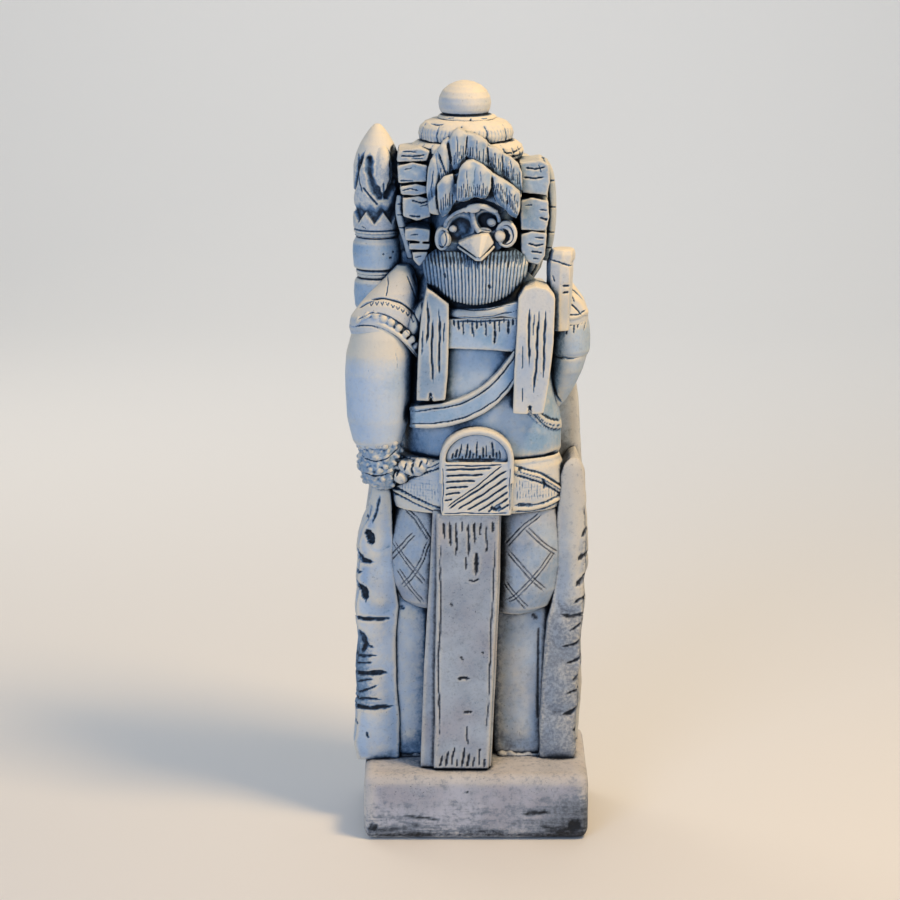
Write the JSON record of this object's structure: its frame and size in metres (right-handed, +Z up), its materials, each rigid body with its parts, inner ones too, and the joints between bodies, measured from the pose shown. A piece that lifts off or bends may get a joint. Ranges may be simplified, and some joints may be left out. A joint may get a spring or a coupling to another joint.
{
  "type": "carved guardian garden figure",
  "caption": "Free-standing cast-stone guardian figure with a beaked mask, ruff beard, feather crest, mace and long apron, on a rectangular plinth.",
  "frame": {"origin": "centre of the plinth's underside", "axes": "+Z up, the figure faces -Y, +X is to the right of someone who faces it"},
  "size_m": [0.2256, 0.15, 0.7],
  "materials": {
    "stone_high": "matt cast stone, pale rubbed highlights over a dark wash",
    "stone_mid": "matt cast stone, pale blue-grey over a dark slate wash in the carved lines",
    "stone_low": "matt cast stone, greyer and more weathered, with fine pinholes",
    "steel_rod": "plain mill-finish steel reinforcing bar"
  },
  "bodies": {
    "root": {"plinth": "stone_low", "core_post": "stone_low", "torso": "stone_mid", "head": "stone_mid", "core_rod_left": "steel_rod", "core_rod_right": "steel_rod", "hip_left": "stone_low", "hip_right": "stone_low", "leg_left": "stone_low", "leg_right": "stone_low", "cape": "stone_mid", "pillar_left": "stone_low", "pillar_right": "stone_low", "belt": "stone_high", "buckle_plate": "stone_high", "buckle_fan": "stone_high", "apron": "stone_low", "headdress_back": "stone_mid", "crown_tier_lower": "stone_high", "crown_tier_upper": "stone_high", "finial": "stone_high", "flap_left_1": "stone_mid", "flap_left_2": "stone_mid", "flap_left_3": "stone_mid", "flap_left_4": "stone_mid", "flap_left_5": "stone_mid", "flap_right_1": "stone_mid", "flap_right_2": "stone_mid", "flap_right_3": "stone_mid", "crest_upper": "stone_mid", "crest_lower": "stone_mid", "face_mask": "stone_mid", "brow": "stone_mid", "beak": "stone_mid", "ear_disc_left": "stone_mid", "ear_disc_right": "stone_mid", "beard": "stone_mid", "lappet_left": "stone_mid", "lappet_right": "stone_high", "collar_roll": "stone_mid", "chest_fringe": "stone_mid", "sash": "stone_mid", "sash_end": "stone_mid", "forearm_left": "stone_mid", "armlet_left": "stone_high", "shoulder_left": "stone_high", "wrist_cuff_left": "stone_mid", "hand_left": "stone_mid", "baton": "stone_high", "sleeve_right": "stone_high", "sleeve_puff_right": "stone_mid", "elbow_right": "stone_mid", "mace_bud": "stone_mid", "mace_barrel_upper": "stone_mid", "mace_barrel_lower": "stone_mid"}
  },
  "joints": []
}
